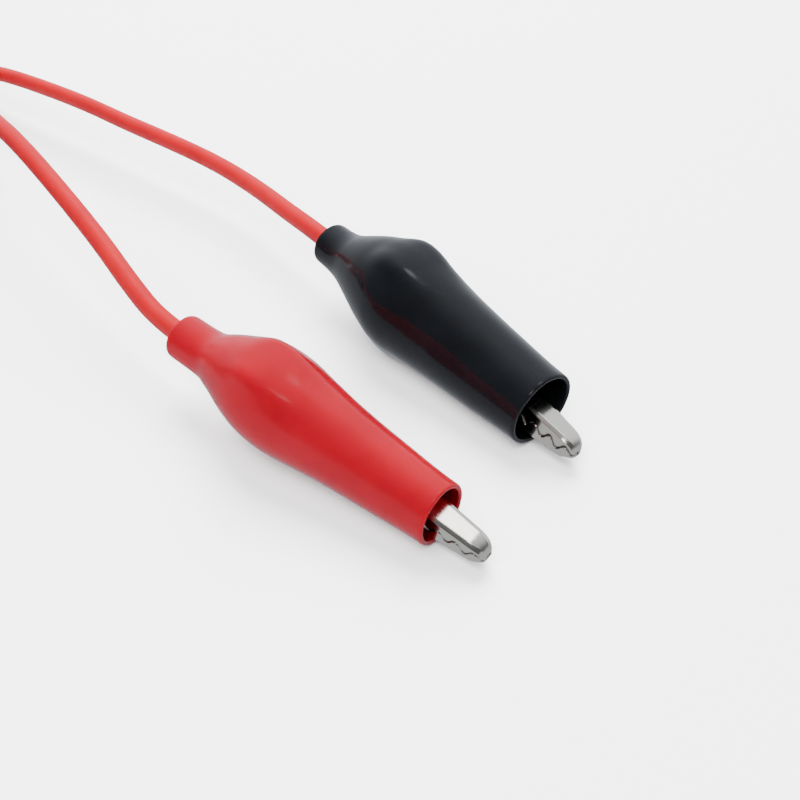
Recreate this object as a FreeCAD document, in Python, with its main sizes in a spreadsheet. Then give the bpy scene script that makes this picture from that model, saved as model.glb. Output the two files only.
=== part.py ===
import FreeCAD, Part
import math
import os

# A pair of test leads. Each has a sprung crocodile clip in a soft vinyl boot at one end and a
# 4 mm banana plug at the other, with the spare wire wound in a small tied coil.
# Row frame: +Z up from the table, jaws towards -Y, wires leaving towards +Y.
# Clip frame: +X from the boot's neck end to the jaw tips, +Z from the lower jaw to the upper.
# Plug frame: +X from the shoulder to the pin's tip.

Vec = FreeCAD.Vector
Rot = FreeCAD.Rotation
Place = FreeCAD.Placement

SIZES = {
    "bootWall": 0.5, "neckBore": 1.0, "neckLength": 4.6,
    "wireRadius": 1.0, "strandRadius": 0.6, "insulationEnd": 5.2, "strandEnd": 9.2,
    "sheetThick": 0.3, "pivotAlong": 19.0, "pivotUp": -0.3, "tipAlong": 36.0,
    "handleAlong": 11.4, "earHalf": 1.9, "earGap": 0.05, "holeSlack": 0.05,
    "barrelStart": 5.8, "barrelFloor": -0.95, "barrelHalf": 0.95,
    "toothPitch": 1.75, "toothRise": 0.34, "jawGap": 0.2,
    "rivetRadius": 0.7, "rivetHead": 1.15, "rivetHeadThick": 0.32,
    "springWire": 0.17, "springCoil": 1.05, "springPitch": 0.42, "springTurns": 3.0,
    "springLeg": 5.6, "springLegUp": 67.0, "springLegDown": 74.0,
    "solderLong": 1.3, "solderWide": 0.55, "solderTall": 0.5,
    "pinRadius": 2.0, "pinLength": 16.0, "pinTip": 1.0, "pinSlot": 0.5, "pinSlotLength": 8.0,
    "collarRadius": 3.2, "collarLength": 1.6, "stubRadius": 2.5, "stubLength": 17.0,
    "housingRadius": 4.8, "housingLength": 22.0, "housingSlack": 0.02,
    "screwRadius": 1.5, "screwLength": 2.6, "screwAlong": 12.0, "keyAcross": 1.3, "keyDepth": 1.4,
    "reliefLength": 12.0, "reliefRadius": 3.0, "reliefEnd": 1.7,
    "coilRadius": 12.0, "coilLift": 0.6, "layerRise": 1.73, "coilStack": 3.75,
    "tieWidth": 3.0, "tieThick": 0.5, "tieSlack": 0.25,
}

# Boot sections: distance from the neck end, half height, half width, height of the middle.
BOOT_SECTIONS = {
    "red": [(0.0, 2.25, 2.25, 0.0), (3.4, 2.3, 2.3, 0.05), (4.6, 2.5, 2.45, 0.2), (5.6, 2.95, 2.8, 0.35),
            (6.8, 3.45, 3.2, 0.5), (8.0, 3.95, 3.65, 0.55), (9.3, 4.5, 4.05, 0.6), (10.6, 4.85, 4.35, 0.6),
            (12.2, 5.0, 4.5, 0.5), (14.0, 4.95, 4.45, 0.35), (16.4, 4.6, 4.1, 0.2), (20.0, 4.1, 3.6, 0.1),
            (25.0, 3.65, 3.15, 0.0), (31.0, 3.25, 2.75, 0.0)],
    "black": [(0.0, 2.3, 2.3, 0.0), (2.2, 2.4, 2.4, 0.05), (3.6, 2.7, 2.65, 0.15), (4.9, 3.2, 3.1, 0.35),
              (6.2, 3.75, 3.6, 0.5), (7.6, 4.35, 4.1, 0.6), (9.0, 4.9, 4.55, 0.6), (10.3, 5.3, 4.9, 0.6),
              (11.7, 5.6, 5.15, 0.5), (13.2, 5.6, 5.15, 0.4), (15.0, 5.3, 4.9, 0.3), (19.0, 4.85, 4.4, 0.15),
              (25.0, 4.25, 4.0, 0.0), (31.0, 3.75, 3.7, 0.0)],
}

# Where each clip lies: its neck end, heading, nose-down pitch and roll in degrees, and how
# far the metal dips towards the boot's lower wall.
CLIPS = {
    "red": {"neck": (-10.3, 16.8, 6.25), "heading": -86.4, "pitch": 5.6, "roll": 10.0, "dip": 0.0},
    "black": {"neck": (10.1, 18.55, 6.5), "heading": -95.9, "pitch": 5.05, "roll": -3.0, "dip": 0.6},
}

# The free wire's route from the neck end to the coil, in the row frame.
ROUTES = {
    "red": [(-10.3, 16.8, 6.25), (-10.52, 20.37, 6.6), (-10.05, 25.2, 8.1), (-9.0, 31.3, 9.8),
            (-7.9, 39.8, 11.8), (-6.9, 48.8, 13.7), (-5.6, 57.0, 13.3), (-3.0, 65.3, 11.9),
            (0.5, 73.6, 10.2), (4.2, 81.8, 8.7), (7.4, 89.8, 7.3), (9.6, 96.6, 6.0),
            (10.4, 101.4, 5.4), (10.5, 105.0, 5.35)],
    "black": [(10.1, 18.55, 6.5), (10.41, 21.55, 6.76), (11.1, 26.3, 6.7), (12.4, 33.3, 6.5),
              (13.0, 41.3, 6.5), (12.5, 49.3, 6.6), (11.9, 57.8, 6.5), (11.4, 66.3, 6.6),
              (10.4, 75.3, 6.5), (9.4, 84.0, 6.1), (9.1, 91.4, 4.6), (9.5, 97.0, 2.4),
              (10.3, 101.4, 1.5), (10.5, 105.0, 1.6)],
}

# The short tail from the coil to the plug's strain relief.
TAILS = {
    "red": [(-12.0, 113.5, 7.1), (-17.5, 110.0, 7.0), (-23.5, 106.0, 6.3), (-29.5, 101.3, 5.3),
            (-33.2, 95.3, 4.9), (-34.0, 90.0, 4.8)],
    "black": [(-12.0, 113.5, 3.2), (-16.4, 109.2, 3.15), (-20.4, 104.4, 3.7), (-23.1, 98.9, 4.6),
              (-24.0, 93.5, 4.8)],
}

# The two coils lie one on the other and share a tie.
COIL_CENTRE = (-3.5, 105.0)
COIL_LIFTS = {"black": "Sizes.coilLift", "red": "Sizes.coilLift + Sizes.coilStack"}
TIE_ANGLE = -90.0
PLUG_HEADING = -90.0

doc = FreeCAD.newDocument("TestLeads")
sheet = doc.addObject("Spreadsheet::Sheet", "Sizes")
for line, (alias, value) in enumerate(SIZES.items(), start=1):
    sheet.set("A%d" % line, alias)
    sheet.set("B%d" % line, str(value))
    sheet.setAlias("B%d" % line, alias)
doc.recompute()

KEPT = []


def size(alias):
    return float(sheet.get(alias))


def keep(piece, label, place):
    piece.Label = label
    piece.Placement = place.multiply(piece.Placement)
    KEPT.append(piece)


def bound(kind, name, **sizes):
    """A Part primitive with its properties bound to the sheet."""
    piece = doc.addObject(kind, name)
    for prop, expression in sizes.items():
        piece.setExpression(prop, expression)
    return piece


def cut(name, base, tool):
    piece = doc.addObject("Part::Cut", name)
    piece.Base = base
    piece.Tool = tool
    return piece


def joined(kind, name, pieces):
    piece = doc.addObject(kind, name)
    piece.Shapes = pieces
    return piece


ALONG_X = Rot(Vec(0, 1, 0), 90)
ALONG_BACK_X = Rot(Vec(0, 1, 0), -90)
ALONG_Y = Rot(Vec(1, 0, 0), -90)


def rod(name, radius, length, start=0.0, turn=ALONG_X, offset=(0.0, 0.0)):
    """A cylinder from start, by default along +X."""
    piece = bound("Part::Cylinder", name, Radius=radius, Height=length)
    piece.Placement = Place(Vec(start, *offset), turn)
    return piece


def clipFrame(colour, dip=0.0):
    clip = CLIPS[colour]
    turn = Rot(Vec(0, 0, 1), clip["heading"])
    turn = turn.multiply(Rot(Vec(0, 1, 0), clip["pitch"] + dip))
    turn = turn.multiply(Rot(Vec(1, 0, 0), clip["roll"]))
    return Place(Vec(*clip["neck"]), turn)


def plugFrame(colour):
    """The plug's shoulder, lying on the table in line with the end of the wire's tail."""
    heading = Rot(Vec(0, 0, 1), PLUG_HEADING)
    back = size("collarLength") + size("housingLength") + size("reliefLength")
    shoulder = Vec(*TAILS[colour][-1]) + heading.multVec(Vec(back, 0, 0))
    return Place(shoulder, heading)


# ---- boot

def bootLoft(name, sections, inset):
    rings = []
    for count, (along, high, wide, middle) in enumerate(sections):
        ring = doc.addObject("Part::Ellipse", "%sRing%d" % (name, count))
        ring.setExpression("MajorRadius", "%s - %s" % (high, inset))
        ring.setExpression("MinorRadius", "%s - %s" % (wide, inset))
        ring.Placement = Place(Vec(along, 0, middle), ALONG_BACK_X)
        rings.append(ring)
    loft = doc.addObject("Part::Loft", name)
    loft.Sections = rings
    loft.Solid = True
    loft.Ruled = True
    return loft


def makeBoot(colour):
    sections = BOOT_SECTIONS[colour]
    outer = bootLoft(colour + "BootOuter", sections, "0")
    neck = (size("neckLength"), size("neckBore") + size("bootWall"), size("neckBore") + size("bootWall"), 0.0)
    mouth = sections[-1]
    beyond = (mouth[0] + 1.5, *mouth[1:])
    hollow = [s for s in sections if s[0] > size("neckLength") + 0.2]
    inner = bootLoft(colour + "BootInner", [neck] + hollow + [beyond], "Sizes.bootWall")
    bore = rod(colour + "BootBore", "Sizes.neckBore", "Sizes.neckLength + 2", start=-1.0)
    void = joined("Part::MultiFuse", colour + "BootVoid", [inner, bore])
    boot = cut(colour + "Boot", outer, void)
    keep(boot, colour + "_boot", clipFrame(colour))


# ---- stamped jaws

def slab(name, points, plane, thick):
    """An outline drawn in a plane of the clip frame and extruded to both sides of it."""
    sketch = doc.addObject("Sketcher::SketchObject", name + "Sketch")
    if plane == "XZ":
        sketch.Placement = Place(Vec(), Rot(Vec(1, 0, 0), 90))
    for start, end in zip(points, points[1:] + points[:1]):
        sketch.addGeometry(Part.LineSegment(Vec(start[0], start[1], 0), Vec(end[0], end[1], 0)), False)
    piece = doc.addObject("Part::Extrusion", name)
    piece.Base = sketch
    piece.DirMode = "Normal"
    piece.Solid = True
    piece.Symmetric = True
    piece.setExpression("LengthFwd", thick)
    return piece


def mirrored(halfOutline):
    """A plan outline from its +Y half, given as (along, half width) from back to front."""
    return halfOutline + [(along, -half) for along, half in reversed(halfOutline) if half > 0]


def partingHeight(along):
    """Height of the line where the closed jaws meet."""
    rear, front = (21.9, -0.5), (size("tipAlong"), -0.95)
    share = (along - rear[0]) / (front[0] - rear[0])
    return rear[1] + share * (front[1] - rear[1])


def toothLine(lift):
    """Waved edge of a jaw from back to front, lifted clear of the other jaw's edge."""
    pitch = size("toothPitch")
    first = 22.2
    points = []
    for count in range(7):
        start = first + count * pitch
        for share, side in ((0.0, 0.6), (0.2, 1.0), (0.3, 1.0), (0.5, 0.0), (0.7, -1.0), (0.8, -1.0)):
            along = start + share * pitch
            points.append((along, partingHeight(along) + side * size("toothRise") + lift))
    return points


def lowered(points, drop):
    return [(along, up - drop) for along, up in points]


def makeLowerJaw(colour):
    tip = size("tipAlong")
    floor = size("barrelFloor")
    start = size("barrelStart")
    thick = size("sheetThick")
    under = [(start, floor), (8.6, floor), (size("handleAlong"), -3.3), (13.6, -3.5),
             (size("pivotAlong"), -2.6), (31.0, -2.25), (34.9, -2.05), (35.7, -1.75), (tip, -1.3)]
    ear = [(21.5, 0.2), (20.6, 0.9), (19.6, 1.25), (18.4, 1.25), (17.2, 0.6), (16.2, -2.3),
           (13.6, -3.2), (11.8, -3.1), (9.8, -0.6), (9.4, 0.5), (start, 0.5)]
    teeth = list(reversed(toothLine(-size("jawGap") / 2)))
    side = slab(colour + "LowerSide", under + [(tip, partingHeight(tip) - 0.1)] + teeth + ear, "XZ", "6")
    half = [(start, size("barrelHalf")), (9.6, size("barrelHalf")), (10.8, 1.7), (15.5, 1.7),
            (17.0, size("earHalf")), (20.0, size("earHalf")), (31.0, 1.15), (35.0, 0.85),
            (35.6, 0.65), (tip, 0.25)]
    plan = slab(colour + "LowerPlan", mirrored(half), "XY", "12")
    raised = lowered(under[:-3], -1.08 * thick)
    innerSide = [(start - 1, raised[0][1])] + raised[1:] + [(35.3, -1.6), (35.5, 6), (start - 1, 6)]
    hollowSide = slab(colour + "LowerHollowSide", innerSide, "XZ", "6")
    inner = [(start - 1, half[0][1] - thick)] + [(a, w - thick) for a, w in half[1:-2]] + [(35.4, 0.35)]
    hollowPlan = slab(colour + "LowerHollowPlan", mirrored(inner), "XY", "14")
    finishJaw(colour, "Lower", side, plan, hollowSide, hollowPlan, "Sizes.rivetRadius")


def makeUpperJaw(colour):
    tip = size("tipAlong")
    handle = size("handleAlong")
    thick = size("sheetThick")
    over = [(handle, 4.2), (13.6, 4.25), (size("pivotAlong"), 2.3), (31.0, 0.7), (34.7, 0.2),
            (35.6, -0.2), (tip, -0.65)]
    ear = [(21.4, -1.1), (20.4, -1.7), (17.8, -1.7), (16.8, -1.0), (16.3, 2.2), (13.6, 3.2),
           (handle, 3.2)]
    teeth = list(reversed(toothLine(size("jawGap") / 2)))
    side = slab(colour + "UpperSide", over + [(tip, partingHeight(tip) + 0.1)] + teeth + ear, "XZ", "6")
    earHalf = size("earHalf") - thick - size("earGap")
    half = [(handle, 1.65), (14.8, 1.65), (16.1, earHalf), (20.0, earHalf - 0.03), (31.0, 1.1),
            (35.0, 0.8), (35.6, 0.6), (tip, 0.25)]
    plan = slab(colour + "UpperPlan", mirrored(half), "XY", "12")
    sunk = lowered(over[:-2], 1.05 * thick)
    innerSide = [(handle - 1, sunk[0][1])] + sunk[1:] + [(35.4, -0.5), (35.5, -6), (handle - 1, -6)]
    hollowSide = slab(colour + "UpperHollowSide", innerSide, "XZ", "6")
    inner = [(handle - 1, 1.65 - thick)] + [(a, w - thick) for a, w in half[1:-2]] + [(35.4, 0.3)]
    hollowPlan = slab(colour + "UpperHollowPlan", mirrored(inner), "XY", "14")
    finishJaw(colour, "Upper", side, plan, hollowSide, hollowPlan, "Sizes.rivetRadius + Sizes.holeSlack")


def finishJaw(colour, which, side, plan, hollowSide, hollowPlan, holeRadius):
    name = colour + which
    blank = joined("Part::MultiCommon", name + "Blank", [side, plan])
    hollow = joined("Part::MultiCommon", name + "Hollow", [hollowSide, hollowPlan])
    channel = cut(name + "Channel", blank, hollow)
    hole = rod(name + "Hole", holeRadius, "8", start=size("pivotAlong"), turn=ALONG_Y,
               offset=(-4.0, size("pivotUp")))
    jaw = cut(name + "Jaw", channel, hole)
    keep(jaw, "%s_%s_jaw" % (colour, which.lower()), clipFrame(colour, CLIPS[colour]["dip"]))


# ---- pivot rivet, spring, wire end

def makeRivet(colour):
    half = size("earHalf")
    shank = rod(colour + "RivetShank", "Sizes.rivetRadius", "2 * Sizes.earHalf", turn=ALONG_Y, offset=(-half, 0.0))
    heads = []
    for side in (1, -1):
        head = bound("Part::Cone", "%sRivetHead%d" % (colour, side + 1), Radius1="Sizes.rivetHead",
                     Radius2="Sizes.rivetHead - Sizes.rivetHeadThick", Height="Sizes.rivetHeadThick")
        head.Placement = Place(Vec(0, side * half, 0), Rot(Vec(1, 0, 0), -90 * side))
        heads.append(head)
    rivet = joined("Part::MultiFuse", colour + "Rivet", [shank] + heads)
    pivot = Place(Vec(size("pivotAlong"), 0, size("pivotUp")), Rot())
    keep(rivet, colour + "_pivot_rivet", clipFrame(colour, CLIPS[colour]["dip"]).multiply(pivot))


def makeSpring(colour):
    """A torsion spring in one sweep: a straight leg, the turns round the rivet, a straight leg."""
    start = math.radians(size("springLegUp"))
    turns = size("springTurns") + (size("springLegUp") + size("springLegDown")) / 360
    width = size("springPitch") * turns
    helix = Part.makeHelix(size("springPitch"), width, size("springCoil"))
    across = Vec(0, 1, 0)
    outward = Vec(math.cos(start), 0, math.sin(start))
    helix.Placement = Place(across * (-width / 2), Rot(outward, across.cross(outward), across, "ZXY"))
    coil = helix.Edges[0]
    begin, end = coil.valueAt(coil.FirstParameter), coil.valueAt(coil.LastParameter)
    away = coil.tangentAt(coil.FirstParameter) * -size("springLeg")
    onward = coil.tangentAt(coil.LastParameter) * size("springLeg")
    upper = Part.LineSegment(begin + away, begin).toShape()
    lower = Part.LineSegment(end, end + onward).toShape()
    ring = Part.Wire(Part.makeCircle(size("springWire"), begin + away, away))
    spring = doc.addObject("Part::Feature", colour + "Spring")
    spring.Shape = Part.Wire([upper, coil, lower]).makePipeShell([ring], True, True)
    pivot = Place(Vec(size("pivotAlong"), 0, size("pivotUp")), Rot())
    keep(spring, colour + "_torsion_spring", clipFrame(colour, CLIPS[colour]["dip"]).multiply(pivot))


def makeWireEnd(colour):
    frame = clipFrame(colour)
    sleeve = rod(colour + "EndSleeve", "Sizes.wireRadius", "Sizes.insulationEnd")
    sleeveBore = rod(colour + "EndBore", "Sizes.strandRadius", "Sizes.insulationEnd")
    keep(cut(colour + "WireEnd", sleeve, sleeveBore), colour + "_wire_end", frame)
    keep(rod(colour + "Strands", "Sizes.strandRadius", "Sizes.strandEnd"), colour + "_conductor_end", frame)
    blob = bound("Part::Ellipsoid", colour + "SolderBlob", Radius1="Sizes.solderTall",
                 Radius2="Sizes.solderLong", Radius3="Sizes.solderWide")
    blob.Placement = Place(Vec(7.6, 0, 0.5), Rot())
    groove = rod(colour + "SolderGroove", "Sizes.strandRadius", "Sizes.strandEnd")
    keep(cut(colour + "Solder", blob, groove), colour + "_solder_joint", frame)


# ---- free wire

def routePath(points):
    """Straight runs joined by tangent arcs, each as large as its two runs allow."""
    corners = [Vec(*p) for p in points]
    edges = []
    radii = []
    last = corners[0]
    for before, corner, after in zip(corners, corners[1:], corners[2:]):
        inward = (corner - before).normalize()
        outward = (after - corner).normalize()
        turn = inward.getAngle(outward)
        reach = 0.45 * min((corner - before).Length, (after - corner).Length)
        radii.append(reach / math.tan(turn / 2))
        begin = corner - inward * reach
        end = corner + outward * reach
        toCentre = (outward - inward).normalize() * (radii[-1] / math.cos(turn / 2))
        middle = corner + toCentre - Vec(toCentre).normalize() * radii[-1]
        edges.append(Part.LineSegment(last, begin).toShape())
        edges.append(Part.Arc(begin, middle, end).toShape())
        last = end
    edges.append(Part.LineSegment(last, corners[-1]).toShape())
    return Part.Wire(edges), radii


def tube(name, label, points):
    """A plain round tube along a route, with its volume compared with section times length."""
    path, radii = routePath(points)
    radius = size("wireRadius")
    ring = Part.Wire(Part.makeCircle(radius, Vec(*points[0]), Vec(*points[1]) - Vec(*points[0])))
    piece = doc.addObject("Part::Feature", name)
    piece.Shape = path.makePipeShell([ring], True, False)
    expected = math.pi * radius ** 2 * path.Length
    print("%s length %.1f mm, volume ratio %.4f" % (label, path.Length, piece.Shape.Volume / expected))
    print("  arc radii", ", ".join("%.0f" % r for r in radii))
    keep(piece, label, Place())
    return path.Length


def newBody(name):
    return doc.addObject("PartDesign::Body", name)


def bodySketch(body, role, name, points):
    sketch = body.newObject("Sketcher::SketchObject", name)
    plane = next(f for f in body.Origin.OriginFeatures if f.Role == role)
    sketch.AttachmentSupport = [(plane, "")]
    sketch.MapMode = "FlatFace"
    for start, end in zip(points, points[1:] + points[:1]):
        sketch.addGeometry(Part.LineSegment(Vec(start[0], start[1], 0), Vec(end[0], end[1], 0)), False)
    return sketch


def revolved(name, role, points, axis):
    body = newBody(name)
    sketch = bodySketch(body, role, name + "Sketch", points)
    turn = body.newObject("PartDesign::Revolution", name + "Turn")
    turn.Profile = sketch
    turn.ReferenceAxis = (sketch, [axis])
    turn.Angle = 360
    return body


def coilSection():
    """Outer shape of three turns side by side with two more lying in the grooves on top."""
    mean = size("coilRadius")
    wire = size("wireRadius")
    high = 2 * wire + size("layerRise")
    wide = 3 * wire
    return [(mean - wide + 0.5, 0), (mean + wide - 0.5, 0), (mean + wide, 0.5), (mean + wide, 1.5),
            (mean + 2 * wire, high - 0.5), (mean + 1.5 * wire, high), (mean - 1.5 * wire, high),
            (mean - 2 * wire, high - 0.5), (mean - wide, 1.5), (mean - wide, 0.5)]


def makeCoil(colour):
    body = revolved(colour + "Coil", "XZ_Plane", coilSection(), "V_Axis")
    body.Placement = Place(Vec(*COIL_CENTRE, 0), Rot())
    body.setExpression("Placement.Base.z", COIL_LIFTS[colour])
    body.Label = colour + "_wire_coil"
    KEPT.append(body)


def makeTie():
    """A flat band round both coils."""
    mean = size("coilRadius")
    slack = size("tieSlack")
    thick = size("tieThick")
    near = mean - 3 * size("wireRadius") - slack
    far = mean + 3 * size("wireRadius") + slack
    low = size("coilLift") - 0.05
    waist = low + size("coilStack") + 1.6
    high = size("coilLift") + size("coilStack") + 2 * size("wireRadius") + size("layerRise") + 0.05
    body = newBody("tie")
    outer = [(near - thick, low - thick), (far + thick, low - thick), (far + thick, waist),
             (far - 0.8, high + thick), (near + 0.8, high + thick), (near - thick, waist)]
    band = body.newObject("PartDesign::Pad", "tieBand")
    band.Profile = bodySketch(body, "XZ_Plane", "tieOuter", outer)
    band.Midplane = True
    band.setExpression("Length", "Sizes.tieWidth")
    inner = [(near, low), (far, low), (far, waist - 0.1), (far - 1.1, high), (near + 1.1, high),
             (near, waist - 0.1)]
    doc.recompute()
    before = band.Shape.Volume
    hole = body.newObject("PartDesign::Pocket", "tieHole")
    hole.Profile = bodySketch(body, "XZ_Plane", "tieInner", inner)
    hole.Type = "ThroughAll"
    hole.Midplane = True
    doc.recompute()
    if hole.Shape.Volume > 0.6 * before:
        raise RuntimeError("the tie's hole cut too little")
    keep(body, "coil_tie", Place(Vec(*COIL_CENTRE, 0), Rot(Vec(0, 0, 1), TIE_ANGLE)))


# ---- banana plug

def makePin(colour):
    """Cross-slotted contact, shoulder and the clamping stub behind it, turned from one bar."""
    radius = size("pinRadius")
    tip = size("pinTip")
    length = size("pinLength")
    collar = size("collarLength")
    stub = size("stubRadius")
    outline = [(-collar - size("stubLength"), 0), (-collar - size("stubLength"), stub), (-collar, stub),
               (-collar, size("collarRadius")), (0, size("collarRadius")), (0, radius),
               (length - tip, radius), (length - 0.3, radius - 0.6 * tip), (length, 0.8), (length, 0)]
    body = revolved(colour + "Pin", "XZ_Plane", outline, "H_Axis")
    half = size("pinSlot") / 2
    reach = length - size("pinSlotLength")
    slots = [[(reach, -half), (length + 1, -half), (length + 1, half), (reach, half)]]
    for role in ("XZ_Plane", "XY_Plane"):
        doc.recompute()
        slot = body.newObject("PartDesign::Pocket", "%sPinSlot%s" % (colour, role[:2]))
        slot.Profile = bodySketch(body, role, "%sPinSlotSketch%s" % (colour, role[:2]), slots[0])
        slot.Type = "ThroughAll"
        slot.Midplane = True
    rear = -collar - size("stubLength")
    wireHole = rod(colour + "PinWireHole", "Sizes.wireRadius", "9", start=rear)
    screwHole = rod(colour + "PinScrewHole", "Sizes.screwRadius", "4", turn=Rot(),
                    start=-collar - size("screwAlong"))
    holes = joined("Part::MultiFuse", colour + "PinHoles", [wireHole, screwHole])
    keep(cut(colour + "PlugPin", body, holes), colour + "_plug_pin", plugFrame(colour))


def makeHousing(colour):
    front = -size("collarLength")
    length = size("housingLength")
    radius = size("housingRadius")
    outline = [(front, 0), (front, radius - 0.9), (front - 0.9, radius), (front - 5.0, radius),
               (front - 6.0, radius - 0.45), (front - 17.0, radius - 0.45), (front - 18.0, radius),
               (front - length + 2.0, radius), (front - length, radius - 1.4), (front - length, 0)]
    body = revolved(colour + "HousingSolid", "XZ_Plane", outline, "H_Axis")
    bore = rod(colour + "HousingBore", "Sizes.stubRadius + Sizes.housingSlack", "Sizes.stubLength + 1",
               start=front - size("stubLength"))
    wireWay = rod(colour + "HousingWireWay", "Sizes.wireRadius + Sizes.housingSlack",
                  "Sizes.housingLength + 2", start=front - length - 1)
    screwWay = rod(colour + "HousingScrewWay", "Sizes.screwRadius + Sizes.holeSlack", "8",
                   turn=Rot(), start=front - size("screwAlong"))
    void = joined("Part::MultiFuse", colour + "HousingVoid", [bore, wireWay, screwWay])
    keep(cut(colour + "Housing", body, void), colour + "_plug_housing", plugFrame(colour))


def makeGrubScrew(colour):
    radius = size("screwRadius") - 0.02
    length = size("screwLength")
    body = revolved(colour + "ScrewBlank", "XZ_Plane",
                    [(0, 0), (radius - 0.3, 0), (radius, 0.3), (radius, length - 0.2),
                     (radius - 0.2, length), (0, length)], "V_Axis")
    doc.recompute()
    key = body.newObject("PartDesign::Pocket", colour + "ScrewKey")
    across = size("keyAcross") / math.sqrt(3)
    corners = [(across * math.cos(math.radians(60 * n)), across * math.sin(math.radians(60 * n)))
               for n in range(6)]
    key.Profile = bodySketch(body, "XY_Plane", colour + "ScrewKeySketch", corners)
    key.Profile[0].AttachmentOffset = Place(Vec(0, 0, length), Rot())
    key.setExpression("Length", "Sizes.keyDepth")
    seat = Place(Vec(-size("collarLength") - size("screwAlong"), 0, size("wireRadius")), Rot())
    keep(body, colour + "_plug_grub_screw", plugFrame(colour).multiply(seat))


def makeRelief(colour):
    """A soft tapered sleeve with grooves that let it flex."""
    front = -size("collarLength") - size("housingLength")
    length = size("reliefLength")
    wide, narrow = size("reliefRadius"), size("reliefEnd")
    top = [(front, wide)]
    for count in range(4):
        along = 2.5 + count * 2.6
        radius = wide + (narrow - wide) * along / length
        top += [(front - along, radius), (front - along - 0.1, radius - 0.55),
                (front - along - 0.9, radius - 0.6), (front - along - 1.0, radius - 0.1)]
    top += [(front - length, narrow)]
    bore = size("wireRadius")
    body = revolved(colour + "Relief", "XZ_Plane", [(front, bore)] + top + [(front - length, bore)], "H_Axis")
    keep(body, colour + "_plug_strain_relief", plugFrame(colour))


def makePlugWire(colour):
    rear = -size("collarLength") - size("housingLength") - size("reliefLength")
    wire = rod(colour + "PlugWire", "Sizes.wireRadius",
               "Sizes.housingLength + Sizes.reliefLength - Sizes.stubLength + 8.8", start=rear)
    keep(wire, colour + "_plug_wire_end", plugFrame(colour))


def makeLead(colour):
    makeBoot(colour)
    makeLowerJaw(colour)
    makeUpperJaw(colour)
    makeRivet(colour)
    makeSpring(colour)
    makeWireEnd(colour)
    free = tube(colour + "Wire", colour + "_wire", ROUTES[colour])
    tail = tube(colour + "Tail", colour + "_wire_tail", TAILS[colour])
    makeCoil(colour)
    makePin(colour)
    makeHousing(colour)
    makeGrubScrew(colour)
    makeRelief(colour)
    makePlugWire(colour)
    print("%s: free %.1f mm, tail %.1f mm" % (colour, free, tail))


for leadColour in ("red", "black"):
    makeLead(leadColour)
makeTie()
doc.recompute()

for item in doc.Objects:
    if "Invalid" in item.State or "Error" in item.State:
        raise RuntimeError("%s failed to build" % item.Name)
for piece in KEPT:
    shape = piece.Shape
    if shape.isNull() or not shape.isValid() or len(shape.Solids) != 1:
        raise RuntimeError("%s is not one sound solid" % piece.Label)

os.makedirs("parts", exist_ok=True)
for piece in KEPT:
    piece.Shape.exportStep("parts/%s.step" % piece.Label)
clipNodes = ("boot", "jaw", "rivet", "spring", "wire_end", "conductor_end", "solder_joint")
box = FreeCAD.BoundBox()
for piece in KEPT:
    if piece.Label.endswith(clipNodes) and "plug" not in piece.Label:
        box.add(piece.Shape.optimalBoundingBox())
print("clips x %.2f to %.2f, y %.2f to %.2f, z %.2f to %.2f"
      % (box.XMin, box.XMax, box.YMin, box.YMax, box.ZMin, box.ZMax))
print("%d nodes" % len(KEPT))
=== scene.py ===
import math
import bpy
import bmesh
from mathutils import Matrix, Vector


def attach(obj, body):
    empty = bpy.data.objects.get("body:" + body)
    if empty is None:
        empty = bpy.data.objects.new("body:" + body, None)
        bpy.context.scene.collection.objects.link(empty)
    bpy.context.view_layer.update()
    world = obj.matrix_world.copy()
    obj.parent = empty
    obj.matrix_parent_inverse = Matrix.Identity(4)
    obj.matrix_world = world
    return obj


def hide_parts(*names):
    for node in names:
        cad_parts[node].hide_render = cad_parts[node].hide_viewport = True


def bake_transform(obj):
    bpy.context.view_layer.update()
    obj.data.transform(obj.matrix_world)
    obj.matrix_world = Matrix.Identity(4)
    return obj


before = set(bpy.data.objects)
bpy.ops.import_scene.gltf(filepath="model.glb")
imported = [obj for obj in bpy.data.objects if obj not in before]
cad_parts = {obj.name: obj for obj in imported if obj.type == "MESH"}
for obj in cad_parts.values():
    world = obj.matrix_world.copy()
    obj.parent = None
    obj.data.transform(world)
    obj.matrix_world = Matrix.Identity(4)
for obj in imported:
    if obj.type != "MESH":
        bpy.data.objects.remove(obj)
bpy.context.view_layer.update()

mm = 0.001
print("frame loaded:", len(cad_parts), "nodes")

# camera: close to the table, looking down across the two clips
cameraSet = {"place": (-51.15, -50.48, 63.2), "heading": (0.7207, 0.6935), "down": 40.4, "lens": 45.8}


def addCamera(s):
    down = math.radians(s["down"])
    flat = Vector((s["heading"][0], s["heading"][1], 0)).normalized()
    aim = flat * math.cos(down) - Vector((0, 0, math.sin(down)))
    camera = bpy.data.objects.new("camera", bpy.data.cameras.new("camera"))
    camera.data.lens = s["lens"]
    camera.data.sensor_width = 36
    camera.data.clip_start = 0.002
    camera.data.clip_end = 5
    camera.location = Vector(s["place"]) * mm
    camera.rotation_euler = aim.to_track_quat("-Z", "Y").to_euler()
    bpy.context.collection.objects.link(camera)
    bpy.context.scene.camera = camera


addCamera(cameraSet)
print("camera set")


# materials
def linear(hexColour):
    parts = [int(hexColour[i:i + 2], 16) / 255 for i in (1, 3, 5)]
    parts = [c / 12.92 if c <= 0.04045 else ((c + 0.055) / 1.055) ** 2.4 for c in parts]
    return (*parts, 1.0)


# a node with its settings, then the links into its inputs
def addNode(tree, kind, settings=None, links=None):
    node = tree.nodes.new(kind)
    for key, value in (settings or {}).items():
        if isinstance(key, int) or key in node.inputs:
            node.inputs[key].default_value = value
        else:
            setattr(node, key, value)
    for key, source in (links or {}).items():
        tree.links.new(source, node.inputs[key])
    return node


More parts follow.
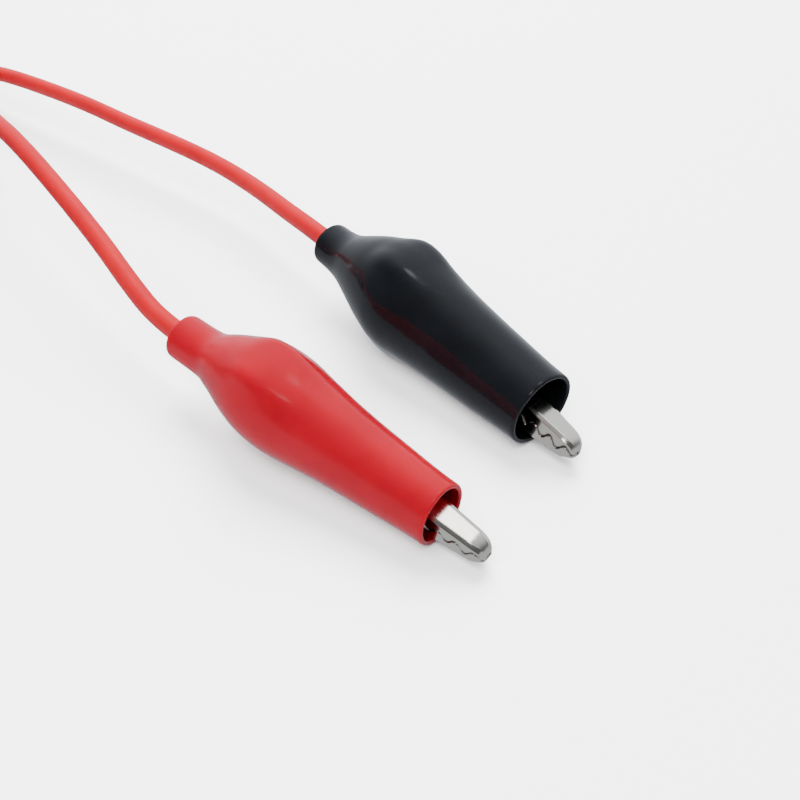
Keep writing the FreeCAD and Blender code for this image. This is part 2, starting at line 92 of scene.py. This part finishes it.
# a material with a bare shader, and the object coordinates its patterns start from
def newMaterial(name, colour, **sockets):
    made = bpy.data.materials.new(name)
    made.use_nodes = True
    tree = made.node_tree
    shader = tree.nodes["Principled BSDF"]
    shader.inputs["Base Color"].default_value = linear(colour)
    for key, value in sockets.items():
        shader.inputs[key.replace("_", " ")].default_value = value
    where = addNode(tree, "ShaderNodeTexCoord").outputs["Object"]
    return made, tree, shader, where


# two close shades of a colour in soft patches
def mottle(tree, shader, where, light, dark, patchMm):
    patch = addNode(tree, "ShaderNodeTexNoise", {"Scale": 1000 / patchMm, "Detail": 3.0}, {"Vector": where})
    ramp = addNode(tree, "ShaderNodeValToRGB", {}, {"Fac": patch.outputs["Fac"]})
    ramp.color_ramp.elements[0].position = 0.35
    ramp.color_ramp.elements[0].color = linear(dark)
    ramp.color_ramp.elements[1].position = 0.65
    ramp.color_ramp.elements[1].color = linear(light)
    tree.links.new(ramp.outputs["Color"], shader.inputs["Base Color"])


# unevenness of the surface: noise of one size on noise of another
def relief(tree, shader, where, sizesMm, depthMm, strength):
    last = None
    for sizeMm in sizesMm:
        noise = addNode(tree, "ShaderNodeTexNoise", {"Scale": 1000 / sizeMm, "Detail": 2.0}, {"Vector": where})
        bump = addNode(tree, "ShaderNodeBump", {"Strength": strength, "Distance": depthMm * mm * sizeMm},
                       {"Height": noise.outputs["Fac"]})
        if last:
            tree.links.new(last.outputs["Normal"], bump.inputs["Normal"])
        last = bump
    tree.links.new(last.outputs["Normal"], shader.inputs["Normal"])


# light that goes in and comes out again a little further on
def glowUnder(shader, weight, radius, depthMm):
    shader.inputs["Subsurface Weight"].default_value = weight
    shader.inputs["Subsurface Radius"].default_value = radius
    shader.inputs["Subsurface Scale"].default_value = depthMm * mm


def makeVinyl(name, light, dark, roughness, glow):
    # dipped PVC: a smooth wet-looking skin with slow waves where the dip ran, no grain
    made, tree, shader, where = newMaterial(name, light, Roughness=roughness, IOR=1.53, Specular_IOR_Level=0.22)
    glowUnder(shader, glow, (1.0, 0.18, 0.14), 0.9)
    mottle(tree, shader, where, light, dark, 6.0)
    relief(tree, shader, where, (5.0, 1.6), 0.03, 0.35)
    return made


def makeInsulation(name, light, dark):
    # extruded PVC: satin, faintly drawn surface
    made, tree, shader, where = newMaterial(name, light, Roughness=0.45, IOR=1.52, Specular_IOR_Level=0.2)
    glowUnder(shader, 0.15, (1.0, 0.3, 0.25), 0.5)
    mottle(tree, shader, where, light, dark, 4.0)
    relief(tree, shader, where, (0.9, 0.25), 0.05, 0.25)
    return made


def makePlate(name, colour, roughness, grainMm):
    # plated metal: bright, with the rolling grain of the strip showing faintly through the plating
    made, tree, shader, where = newMaterial(name, colour, Metallic=1.0, Roughness=roughness)
    squeeze = addNode(tree, "ShaderNodeMapping", {"Scale": (8.0, 1.0, 8.0)}, {"Vector": where})
    grain = addNode(tree, "ShaderNodeTexNoise", {"Scale": 1000 / grainMm / 8, "Detail": 4.0},
                    {"Vector": squeeze.outputs["Vector"]})
    spread = addNode(tree, "ShaderNodeMapRange", {"To Min": roughness * 0.75, "To Max": roughness * 1.35},
                     {"Value": grain.outputs["Fac"]})
    tree.links.new(spread.outputs["Result"], shader.inputs["Roughness"])
    bump = addNode(tree, "ShaderNodeBump", {"Strength": 0.2, "Distance": 0.01 * mm},
                   {"Height": grain.outputs["Fac"]})
    tree.links.new(bump.outputs["Normal"], shader.inputs["Normal"])
    return made


def makeMoulded(name, light, dark):
    # injection-moulded nylon: fine spark-eroded grain, low gloss
    made, tree, shader, where = newMaterial(name, light, Roughness=0.38, IOR=1.53, Specular_IOR_Level=0.3)
    mottle(tree, shader, where, light, dark, 9.0)
    relief(tree, shader, where, (0.35,), 0.08, 0.3)
    return made


finishes = {
    "redVinyl": makeVinyl("dipped red PVC", "#7C0112", "#740110", 0.17, 0.6),
    "blackVinyl": makeVinyl("dipped black PVC", "#0B0D10", "#08090B", 0.16, 0.0),
    "insulation": makeInsulation("extruded red PVC", "#8E0611", "#860510"),
    "nickel": makePlate("nickel-plated stamped steel", "#DAD6CC", 0.17, 0.12),
    "nickelBrass": makePlate("nickel-plated turned brass", "#CFC9BB", 0.16, 0.08),
    "springSteel": makePlate("drawn spring steel", "#8E8D8A", 0.3, 0.1),
    "copper": makePlate("tinned copper strand", "#B9825F", 0.35, 0.15),
    "solder": makePlate("tin solder", "#A8A9AB", 0.25, 0.3),
    "redNylon": makeMoulded("moulded red nylon", "#66070B", "#5E0509"),
    "blackNylon": makeMoulded("moulded black nylon", "#0D0E10", "#0A0B0C"),
    "tie": makeMoulded("moulded white polyethylene", "#E6E5E0", "#DCDBD6"),
}


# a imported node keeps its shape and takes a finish
def dress(node, finish):
    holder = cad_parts[node]
    if not holder.data.materials:
        holder.data.materials.append(finishes[finish])
    for place in holder.material_slots:
        place.material = finishes[finish]


print("materials made")

# the two leads: free wire, coil and tail in one line each
coilSet = {
    "centre": (-3.5, 105.0), "radius": 12.0, "wireRadius": 1.0, "layerRise": 1.73,
    "turns": 4.375, "stepsPerTurn": 16, "change": 0.22,
    # ring and layer of each turn, outermost turn of the lower layer first
    "slots": [(1.0, 0), (0.0, 0), (-1.0, 0), (-0.5, 1), (0.5, 1)],
}
leads = {
    "red": {
        "route": [(-10.3, 16.8, 6.25), (-10.52, 20.37, 6.6), (-10.05, 25.2, 8.1), (-9.0, 31.3, 9.8),
                  (-7.9, 39.8, 11.8), (-6.9, 48.8, 13.7), (-5.6, 57.0, 13.3), (-3.0, 65.3, 11.9),
                  (0.5, 73.6, 10.2), (4.2, 81.8, 8.7), (7.4, 89.8, 7.3), (9.6, 96.6, 6.0),
                  (10.4, 101.4, 5.4)],
        "lift": 4.35,
        "tail": [(-17.5, 110.0, 7.0), (-23.5, 106.0, 6.3), (-29.5, 101.3, 5.3), (-33.2, 95.3, 4.9),
                 (-34.0, 90.0, 4.8)],
    },
    "black": {
        "route": [(10.1, 18.55, 6.5), (10.41, 21.55, 6.76), (11.1, 26.3, 6.7), (12.4, 33.3, 6.5),
                  (13.0, 41.3, 6.5), (12.5, 49.3, 6.6), (11.9, 57.8, 6.5), (11.4, 66.3, 6.6),
                  (10.4, 75.3, 6.5), (9.4, 84.0, 6.1), (9.1, 91.4, 4.6), (9.5, 97.0, 2.4),
                  (10.3, 101.4, 1.5)],
        "lift": 0.6,
        "tail": [(-16.4, 109.2, 3.15), (-20.4, 104.4, 3.7), (-23.1, 98.9, 4.6), (-24.0, 93.5, 4.8)],
    },
}


# control points of the wound turns, anticlockwise from the +X side
def coilPoints(s, lift):
    steps = s["stepsPerTurn"]
    spread = 2 / (1 + math.cos(math.pi / steps))    # they stand a little outside the line
    points = []
    for step in range(round(s["turns"] * steps) + 1):
        turn = step / steps
        now = min(int(turn), len(s["slots"]) - 1)
        after = min(now + 1, len(s["slots"]) - 1)
        share = max(0.0, (turn - now - 1 + s["change"]) / s["change"])
        share = share * share * (3 - 2 * share)
        ring, layer = (s["slots"][now][k] + share * (s["slots"][after][k] - s["slots"][now][k]) for k in (0, 1))
        radius = (s["radius"] + ring * 2 * s["wireRadius"]) * spread
        angle = turn * 2 * math.pi
        points.append((s["centre"][0] + radius * math.cos(angle), s["centre"][1] + radius * math.sin(angle),
                       lift + s["wireRadius"] + layer * s["layerRise"]))
    return points


def addCord(name, points, radius):
    data = bpy.data.curves.new(name, "CURVE")
    data.dimensions = "3D"
    spline = data.splines.new("NURBS")
    spline.points.add(len(points) - 1)
    for point, place in zip(spline.points, points):
        point.co = (place[0] * mm, place[1] * mm, place[2] * mm, 1)
    spline.order_u = 3
    spline.use_endpoint_u = True
    spline.resolution_u = 8
    data.bevel_depth = radius * mm
    data.bevel_resolution = 7
    data.use_fill_caps = True
    cord = bpy.data.objects.new(name, data)
    bpy.context.collection.objects.link(cord)
    return cord


# length of the smooth line, read from a bare copy of it
def lineLength(points):
    bare = addCord("measure", points, 0)
    mesh = bpy.data.meshes.new_from_object(bare)
    line = [v.co.copy() for v in mesh.vertices]
    bpy.data.objects.remove(bare)
    bpy.data.meshes.remove(mesh)
    return sum((b - a).length for a, b in zip(line, line[1:]))


def makeLeadWire(colour):
    lead = leads[colour]
    points = lead["route"] + coilPoints(coilSet, lead["lift"]) + lead["tail"]
    length = lineLength(points)
    cord = addCord(colour + "_lead", points, coilSet["wireRadius"])
    cord.data.materials.append(finishes["insulation"])
    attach(cord, "root")
    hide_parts(colour + "_wire", colour + "_wire_tail", colour + "_wire_coil")
    onCord = [colour + part for part in ("_plug_pin", "_plug_housing", "_plug_grub_screw",
                                         "_plug_strain_relief", "_plug_wire_end")]
    if colour == "red":
        onCord.append("coil_tie")
    print(colour, "lead: %.3f m" % length)


for colour in leads:
    makeLeadWire(colour)


# clip frame: +X from the boot's neck end to the jaw tips, +Z from the lower jaw to the upper
clips = {
    "red": {"neck": (-10.3, 16.8, 6.25), "heading": -86.4, "pitch": 5.6, "roll": 10.0, "dip": 0.0},
    "black": {"neck": (10.1, 18.55, 6.5), "heading": -95.9, "pitch": 5.05, "roll": -3.0, "dip": 0.6},
}


def clipMatrix(colour, dip=0.0):
    c = clips[colour]
    turn = Matrix.Rotation(math.radians(c["heading"]), 4, "Z")
    turn = turn @ Matrix.Rotation(math.radians(c["pitch"] + dip), 4, "Y")
    turn = turn @ Matrix.Rotation(math.radians(c["roll"]), 4, "X")
    return Matrix.Translation(Vector(c["neck"]) * mm) @ turn @ Matrix.Scale(mm, 4)


# slope of one column at a row, level at both ends
def slopeAt(rows, i, col):
    if i == 0 or i == len(rows) - 1:
        return 0.0
    return (rows[i + 1][col] - rows[i - 1][col]) / (rows[i + 1][0] - rows[i - 1][0])


# value on a smooth line through (along, value...) rows
def smoothAt(along, rows):
    k = max(i for i in range(len(rows) - 1) if rows[i][0] <= along or i == 0)
    run = rows[k + 1][0] - rows[k][0]
    h = min(1.0, max(0.0, (along - rows[k][0]) / run))
    out = []
    for col in range(1, len(rows[0])):
        a, b = rows[k][col], rows[k + 1][col]
        m0, m1 = slopeAt(rows, k, col) * run, slopeAt(rows, k + 1, col) * run
        out.append((2 * h ** 3 - 3 * h ** 2 + 1) * a + (h ** 3 - 2 * h ** 2 + h) * m0
                   + (-2 * h ** 3 + 3 * h ** 2) * b + (h ** 3 - h ** 2) * m1)
    return out


# the worked mesh put in its place, with its modifiers and finish
def finishMesh(name, work, place, finish, levels=0, thickness=None):
    bmesh.ops.transform(work, matrix=place, verts=work.verts)
    mesh = bpy.data.meshes.new(name)
    work.to_mesh(mesh)
    work.free()
    for face in mesh.polygons:
        face.use_smooth = True
    piece = bpy.data.objects.new(name, mesh)
    bpy.context.collection.objects.link(piece)
    mesh.materials.append(finishes[finish])
    if thickness:
        wall = piece.modifiers.new("wall", "SOLIDIFY")
        wall.thickness = thickness * mm
        wall.offset = -1
        wall.use_even_offset = True
    if levels:
        smooth = piece.modifiers.new("smooth", "SUBSURF")
        smooth.levels = levels
        smooth.render_levels = levels
    return piece


# boot: neck, flare, bulge over the handles, long taper to the mouth
bootSet = {
    "segments": 56, "steps": 62, "wall": 0.5, "neckBore": 1.02, "hollowFrom": 5.6, "hollowSteps": 25,
    "stretchFrom": (4.2, 0, 3.2), "stretchTo": (6.2, 0, 10.6),    # points where the skin would start to follow the upper jaw
    # distance from the neck end, half height, half width, height of the middle
    "sections": {
        "red": [(0.0, 2.25, 2.25, 0.0), (3.4, 2.3, 2.3, 0.05), (4.6, 2.5, 2.45, 0.2), (5.6, 2.95, 2.8, 0.35),
                (6.8, 3.45, 3.2, 0.5), (8.0, 3.95, 3.65, 0.55), (9.3, 4.5, 4.05, 0.6), (10.6, 4.85, 4.35, 0.6),
                (12.2, 5.0, 4.5, 0.5), (14.0, 4.95, 4.45, 0.35), (16.4, 4.6, 4.1, 0.2), (20.0, 4.1, 3.6, 0.1),
                (25.0, 3.65, 3.15, 0.0), (31.0, 3.25, 2.75, 0.0)],
        "black": [(0.0, 2.3, 2.3, 0.0), (2.2, 2.4, 2.4, 0.05), (3.6, 2.7, 2.65, 0.15), (4.9, 3.2, 3.1, 0.35),
                  (6.2, 3.75, 3.6, 0.5), (7.6, 4.35, 4.1, 0.6), (9.0, 4.9, 4.55, 0.6), (10.3, 5.3, 4.9, 0.6),
                  (11.7, 5.6, 5.15, 0.5), (13.2, 5.6, 5.15, 0.4), (15.0, 5.3, 4.9, 0.3), (19.0, 4.85, 4.4, 0.15),
                  (25.0, 4.25, 4.0, 0.0), (31.0, 3.75, 3.7, 0.0)],
    },
    # where the handles' corners press out: angle up from the side, from, peak, to, height
    "ridges": {"angle": 62.0, "spread": 12.0, "from": 8.4, "peak": 11.4, "to": 18.5, "high": 0.45},
}


def ridgeHeight(s, along, angle):
    r = s["ridges"]
    if not r["from"] < along < r["to"]:
        return 0.0
    if along < r["peak"]:
        share = (along - r["from"]) / (r["peak"] - r["from"])
    else:
        share = (r["to"] - along) / (r["to"] - r["peak"])
    fade = share * share * (3 - 2 * share)
    total = 0.0
    for corner in (r["angle"], 180 - r["angle"], 180 + r["angle"], 360 - r["angle"]):
        away = (math.degrees(angle) - corner + 180) % 360 - 180
        total += math.exp(-(away / r["spread"]) ** 2)
    return r["high"] * fade * total


def placeRing(s, verts, along, high, wide, middle, ridged):
    count = len(verts)
    for k, vert in enumerate(verts):
        angle = 2 * math.pi * k / count
        extra = ridgeHeight(s, along, angle) if ridged else 0.0
        vert.co = (along, (wide + extra) * math.cos(angle), middle + (high + extra) * math.sin(angle))


# the skin from the bore in the neck, round the neck's end, over the outside, round the rim and back inside
def bootRings(s, table):
    end = table[-1][0]
    wall = s["wall"]
    neck = table[0][1]
    rings = [(4.4, s["neckBore"], s["neckBore"], 0.0, False), (1.2, s["neckBore"], s["neckBore"], 0.0, False),
             (0.1, s["neckBore"] + 0.05, s["neckBore"] + 0.05, 0.0, False)]
    for along, radius in ((0.0, s["neckBore"] + 0.15), (0.0, neck - 0.26), (0.04, neck - 0.1), (0.16, neck - 0.01)):
        rings.append((along, radius, radius, 0.0, False))
    first, last = 0.5, end - 0.3
    for step in range(s["steps"]):
        along = first + (last - first) * step / (s["steps"] - 1)
        rings.append((along, *smoothAt(along, table), True))
    high, wide, middle = table[-1][1:]
    for back, shrink in ((0.1, 0.03), (0.0, 0.13), (0.0, wall - 0.13), (0.1, wall - 0.02)):
        rings.append((end - back, high - shrink, wide - shrink, middle, False))
    deep = s["hollowFrom"]
    for step in range(s["hollowSteps"] + 1):
        along = end - 0.5 - (end - 0.5 - deep) * step / s["hollowSteps"]
        high, wide, middle = smoothAt(along, table)
        rings.append((along, high - wall, wide - wall, middle, False))
    return rings


def makeBoot(colour):
    s = bootSet
    rings = bootRings(s, s["sections"][colour])
    work = bmesh.new()
    bmesh.ops.create_circle(work, segments=s["segments"], radius=1)
    first = list(work.verts)
    edges = list(work.edges)
    placeRing(s, first, *rings[0])
    for ring in rings[1:]:
        made = bmesh.ops.extrude_edge_only(work, edges=edges)["geom"]
        newVerts = [g for g in made if isinstance(g, bmesh.types.BMVert)]
        edges = [g for g in made if isinstance(g, bmesh.types.BMEdge) and all(v in newVerts for v in g.verts)]
        placeRing(s, newVerts, *ring)
    firstEdges = [e for e in work.edges if all(v in first for v in e.verts)]
    bmesh.ops.bridge_loops(work, edges=edges + firstEdges)
    bmesh.ops.recalc_face_normals(work, faces=work.faces)
    place = clipMatrix(colour)
    piece = finishMesh(colour + "_boot_skin", work, place, colour + "Vinyl", levels=1)
    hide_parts(colour + "_boot")
    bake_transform(piece)


# stamped jaws: a channel with a flat back, rounded corners, side walls and a domed nose
jawSet = {
    "thick": 0.3, "chamferWide": 0.34, "chamferDown": 0.2, "noseFrom": 34.2, "noseSteps": 12, "tip": 35.7,
    "pitch": 1.75, "toothFrom": 22.2, "rise": 0.36, "gap": 0.28,
    # length of a slice ahead of the teeth, and slices in one tooth
    "slice": 0.35, "sliceTo": 21.8, "toothSlices": 14,
    # distance along the clip and height, or half width
    "upperBack": [(11.4, 4.2), (13.6, 4.25), (16.0, 3.2), (19.0, 2.3), (25.0, 1.45), (31.0, 0.7), (34.3, 0.2),
                  (35.7, -0.1)],
    "lowerBack": [(5.8, -0.95), (8.6, -0.97), (11.2, -3.2), (13.6, -3.5), (16.0, -3.1), (19.0, -2.6),
                  (25.0, -2.42), (31.0, -2.25), (34.3, -2.1), (35.7, -2.0)],
    "upperHalf": [(11.4, 1.65), (14.8, 1.65), (16.1, 1.55), (20.0, 1.52), (31.0, 1.14), (34.2, 0.98), (35.7, 0.92)],
    "lowerHalf": [(5.8, 0.95), (9.6, 0.95), (10.8, 1.7), (15.5, 1.7), (17.0, 1.9), (20.0, 1.9), (31.0, 1.16),
                  (34.2, 1.0), (35.7, 0.94)],
    "upperEar": [(11.4, 3.6), (13.6, 3.6), (16.2, 2.3), (16.9, -1.0), (17.8, -1.7), (20.4, -1.7), (21.4, -1.1),
                 (22.1, -0.5)],
    "lowerEar": [(5.8, 0.5), (9.3, 0.5), (9.8, -0.6), (11.8, -2.6), (13.6, -2.8), (16.2, -2.2), (17.2, 0.6),
                 (18.4, 1.25), (19.6, 1.25), (20.6, 0.9), (21.5, 0.2), (22.1, -0.5)],
}


def straightAt(along, rows):
    if along <= rows[0][0]:
        return rows[0][1]
    for (x0, a), (x1, b) in zip(rows, rows[1:]):
        if along <= x1:
            return a + (b - a) * (along - x0) / (x1 - x0)
    return rows[-1][1]


# height of a jaw's waved edge: side is +1 for the upper jaw, -1 for the lower
def toothEdge(s, along, side):
    parting = -0.5 - 0.45 * (along - 21.9) / (s["tip"] - 21.9)
    phase = (along - s["toothFrom"]) / s["pitch"]
    wave = math.sin(2 * math.pi * phase)
    wave = math.copysign(abs(wave) ** 0.75, wave)
    return parting + s["rise"] * wave + side * s["gap"] / 2


# back height, half width and edge height of the channel at a distance along the clip
def jawStation(s, which, along, nose):
    side = 1 if which == "upper" else -1
    back = straightAt(along, s[which + "Back"])
    half = straightAt(along, s[which + "Half"])
    ear = s[which + "Ear"]
    edge = straightAt(along, ear) if along < ear[-1][0] else toothEdge(s, along, side)
    if nose > 0:
        # the dome: back and walls close in on the middle of the edge as a quarter of a ball
        fall = math.cos(nose)
        back = edge + (back - edge) * (0.12 + 0.88 * fall)
        half = half * (0.3 + 0.7 * fall ** 0.7)
    return back, half, edge


# points round the channel from one lower edge to the other
def channelProfile(s, back, half, edge):
    side = 1 if back > edge else -1
    wide, down = min(s["chamferWide"], half * 0.5), min(s["chamferDown"], abs(back - edge) * 0.5)
    shoulder = back - side * down
    points = [(half, edge)]
    for share in (0.08, 0.5, 0.92):
        points.append((half, edge + share * (shoulder - edge)))
    points += [(half, shoulder), (half - 0.05 * wide, shoulder + side * 0.05 * down)]
    points += [(half - 0.92 * wide, back - side * 0.06 * down), (half - wide, back), (half - 1.12 * wide, back)]
    points.append(((half - wide) * 0.3, back + side * 0.02))
    return points + [(-y, z) for y, z in reversed(points)]


def makeJaw(colour, which):
    s = jawSet
    start = s[which + "Back"][0][0]
    stations = []
    along = start
    while along < s["noseFrom"] - 1e-6:
        stations.append((along, 0.0))
        along += s["slice"] if along < s["sliceTo"] else s["pitch"] / s["toothSlices"]
    reach = s["tip"] - s["noseFrom"]
    for step in range(s["noseSteps"] + 1):
        nose = math.pi / 2 * step / s["noseSteps"]
        stations.append((s["noseFrom"] + reach * math.sin(nose), nose))
    work = bmesh.new()
    profile = channelProfile(s, *jawStation(s, which, *stations[0]))
    row = [work.verts.new((start, y, z)) for y, z in profile]
    edges = [work.edges.new(pair) for pair in zip(row, row[1:])]
    for along, nose in stations[1:]:
        made = bmesh.ops.extrude_edge_only(work, edges=edges)["geom"]
        row = [g for g in made if isinstance(g, bmesh.types.BMVert)]
        edges = [g for g in made if isinstance(g, bmesh.types.BMEdge) and all(v in row for v in g.verts)]
        profile = channelProfile(s, *jawStation(s, which, along, nose))
        for vert, (y, z) in zip(sortedRow(row, edges), profile):
            vert.co = (along, y, z)
    bmesh.ops.recalc_face_normals(work, faces=work.faces)
    return work


# a row's vertices in order from one edge of the sheet to the other
def sortedRow(row, edges):
    near = {v: [] for v in row}
    for edge in edges:
        a, b = edge.verts
        near[a].append(b)
        near[b].append(a)
    ends = [v for v in row if len(near[v]) == 1]
    start = max(ends, key=lambda v: v.co.y)
    order = [start]
    while len(order) < len(row):
        order.append(next(v for v in near[order[-1]] if v not in order[-2:]))
    return order


def addJaw(colour, which):
    work = makeJaw(colour, which)
    place = clipMatrix(colour, clips[colour]["dip"])
    piece = finishMesh("%s_%s_jaw_stamping" % (colour, which), work, place, "nickel", thickness=jawSet["thick"])
    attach(piece, "root" if which == "lower" else colour + "_upper_jaw")
    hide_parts("%s_%s_jaw" % (colour, which))


# torsion spring: a straight leg, the turns round the rivet, a straight leg
springSet = {"pivot": (19.0, -0.3), "wire": 0.17, "coil": 1.05, "pitch": 0.42, "turns": 3.0, "leg": 5.6,
             "legUp": 67.0, "legDown": 74.0, "stepsPerTurn": 24}


def makeSpring(colour):
    s = springSet
    along, up = s["pivot"]
    turns = s["turns"] + (s["legUp"] + s["legDown"]) / 360
    steps = round(turns * s["stepsPerTurn"])
    points = []
    for step in range(steps + 1):
        turn = turns * step / steps
        angle = math.radians(s["legUp"]) - turn * 2 * math.pi
        spot = Vector((along + s["coil"] * math.cos(angle), s["pitch"] * (turn - turns / 2),
                       up + s["coil"] * math.sin(angle)))
        ahead = Vector((math.sin(angle), 0, -math.cos(angle))) * s["leg"]
        if step == 0:
            points.append(spot - ahead)
        points.append(spot)
    points.append(spot + ahead)
    data = bpy.data.curves.new("spring line", "CURVE")
    data.dimensions = "3D"
    spline = data.splines.new("POLY")
    spline.points.add(len(points) - 1)
    for point, spot in zip(spline.points, points):
        point.co = (*spot, 1)
    data.bevel_depth = s["wire"]
    data.bevel_resolution = 3
    data.use_fill_caps = True
    line = bpy.data.objects.new("spring line", data)
    mesh = bpy.data.meshes.new_from_object(line)
    bpy.data.objects.remove(line)
    place = clipMatrix(colour, clips[colour]["dip"])
    mesh.transform(place)
    mesh.materials.clear()
    mesh.materials.append(finishes["springSteel"])
    piece = bpy.data.objects.new(colour + "_spring_wire", mesh)
    bpy.context.collection.objects.link(piece)
    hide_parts(colour + "_torsion_spring")
    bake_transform(piece)


for colour in clips:
    makeSpring(colour)
    makeBoot(colour)
    addJaw(colour, "upper")
    addJaw(colour, "lower")
    dress(colour + "_pivot_rivet", "nickel")
    dress(colour + "_wire_end", "insulation")
    dress(colour + "_conductor_end", "copper")
    dress(colour + "_solder_joint", "solder")
    dress(colour + "_plug_pin", "nickelBrass")
    dress(colour + "_plug_housing", colour + "Nylon")
    dress(colour + "_plug_grub_screw", "springSteel")
    dress(colour + "_plug_strain_relief", colour + "Vinyl")
    dress(colour + "_plug_wire_end", "insulation")
dress("coil_tie", "tie")
print("clips made")


# pale table and soft studio light
stageSet = {
    "tableSize": 1.5,
    "worldDark": 0.14, "worldBright": 1.35, "worldLow": 0.7, "worldSide": (0.8, 0.42, 0.4),
    # place in metres, disk size, power, seen in reflections
    "lights": {
        "near softbox": ((-0.2, -0.13, 0.45), 0.12, 0.5, True),
        "top panel": ((0.11, -0.04, 0.5), 0.15, 0.3, True),
        "key bounce": ((0.22, 0.2, 0.42), 0.4, 12.0, False),
        "fill bounce": ((-0.25, -0.05, 0.45), 0.5, 7.5, False),
    },
}


def addLight(name, place, size, power, mirrored):
    data = bpy.data.lights.new(name, "AREA")
    data.shape = "DISK"
    data.size = size
    data.energy = power
    light = bpy.data.objects.new(name, data)
    light.location = place
    light.rotation_euler = (Vector((0, 0.005, 0)) - light.location).to_track_quat("-Z", "Y").to_euler()
    light.visible_glossy = mirrored
    bpy.context.collection.objects.link(light)


# the room: bright wall on the far right, dark behind the camera
def addWorld(s):
    world = bpy.data.worlds.new("studio")
    world.use_nodes = True
    tree = world.node_tree
    where = addNode(tree, "ShaderNodeTexCoord").outputs["Generated"]
    brightWay = Vector(s["worldSide"]).normalized()
    side = addNode(tree, "ShaderNodeVectorMath", {"operation": "DOT_PRODUCT", 1: brightWay}, {0: where})
    level = addNode(tree, "ShaderNodeMapRange", {"interpolation_type": "SMOOTHSTEP", "From Min": -0.1,
                    "From Max": 0.9, "To Min": s["worldDark"], "To Max": s["worldBright"]},
                    {"Value": side.outputs["Value"]})
    upward = addNode(tree, "ShaderNodeSeparateXYZ", {}, {"Vector": where})
    low = addNode(tree, "ShaderNodeMapRange", {"From Min": -0.06, "From Max": 0.0, "To Min": s["worldLow"],
                  "To Max": 0.0}, {"Value": upward.outputs["Z"]})
    both = addNode(tree, "ShaderNodeMath", {"operation": "MAXIMUM"},
                   {0: level.outputs["Result"], 1: low.outputs["Result"]})
    tree.nodes["Background"].inputs["Color"].default_value = linear("#F3F7FF")
    tree.links.new(both.outputs["Value"], tree.nodes["Background"].inputs["Strength"])
    bpy.context.scene.world = world


def addTable(s):
    work = bmesh.new()
    bmesh.ops.create_grid(work, x_segments=1, y_segments=1, size=s["tableSize"])
    mesh = bpy.data.meshes.new("table top")
    work.to_mesh(mesh)
    work.free()
    table = bpy.data.objects.new("table top", mesh)
    bpy.context.collection.objects.link(table)
    mesh.materials.append(newMaterial("white laminate", "#F6F6F7", Roughness=0.6, IOR=1.45)[0])
    table.visible_glossy = False    # the shiny skins show the dimmer room below, not a blown-out table


addTable(stageSet)
addWorld(stageSet)
for name, light in stageSet["lights"].items():
    addLight(name, *light)
print("stage set")
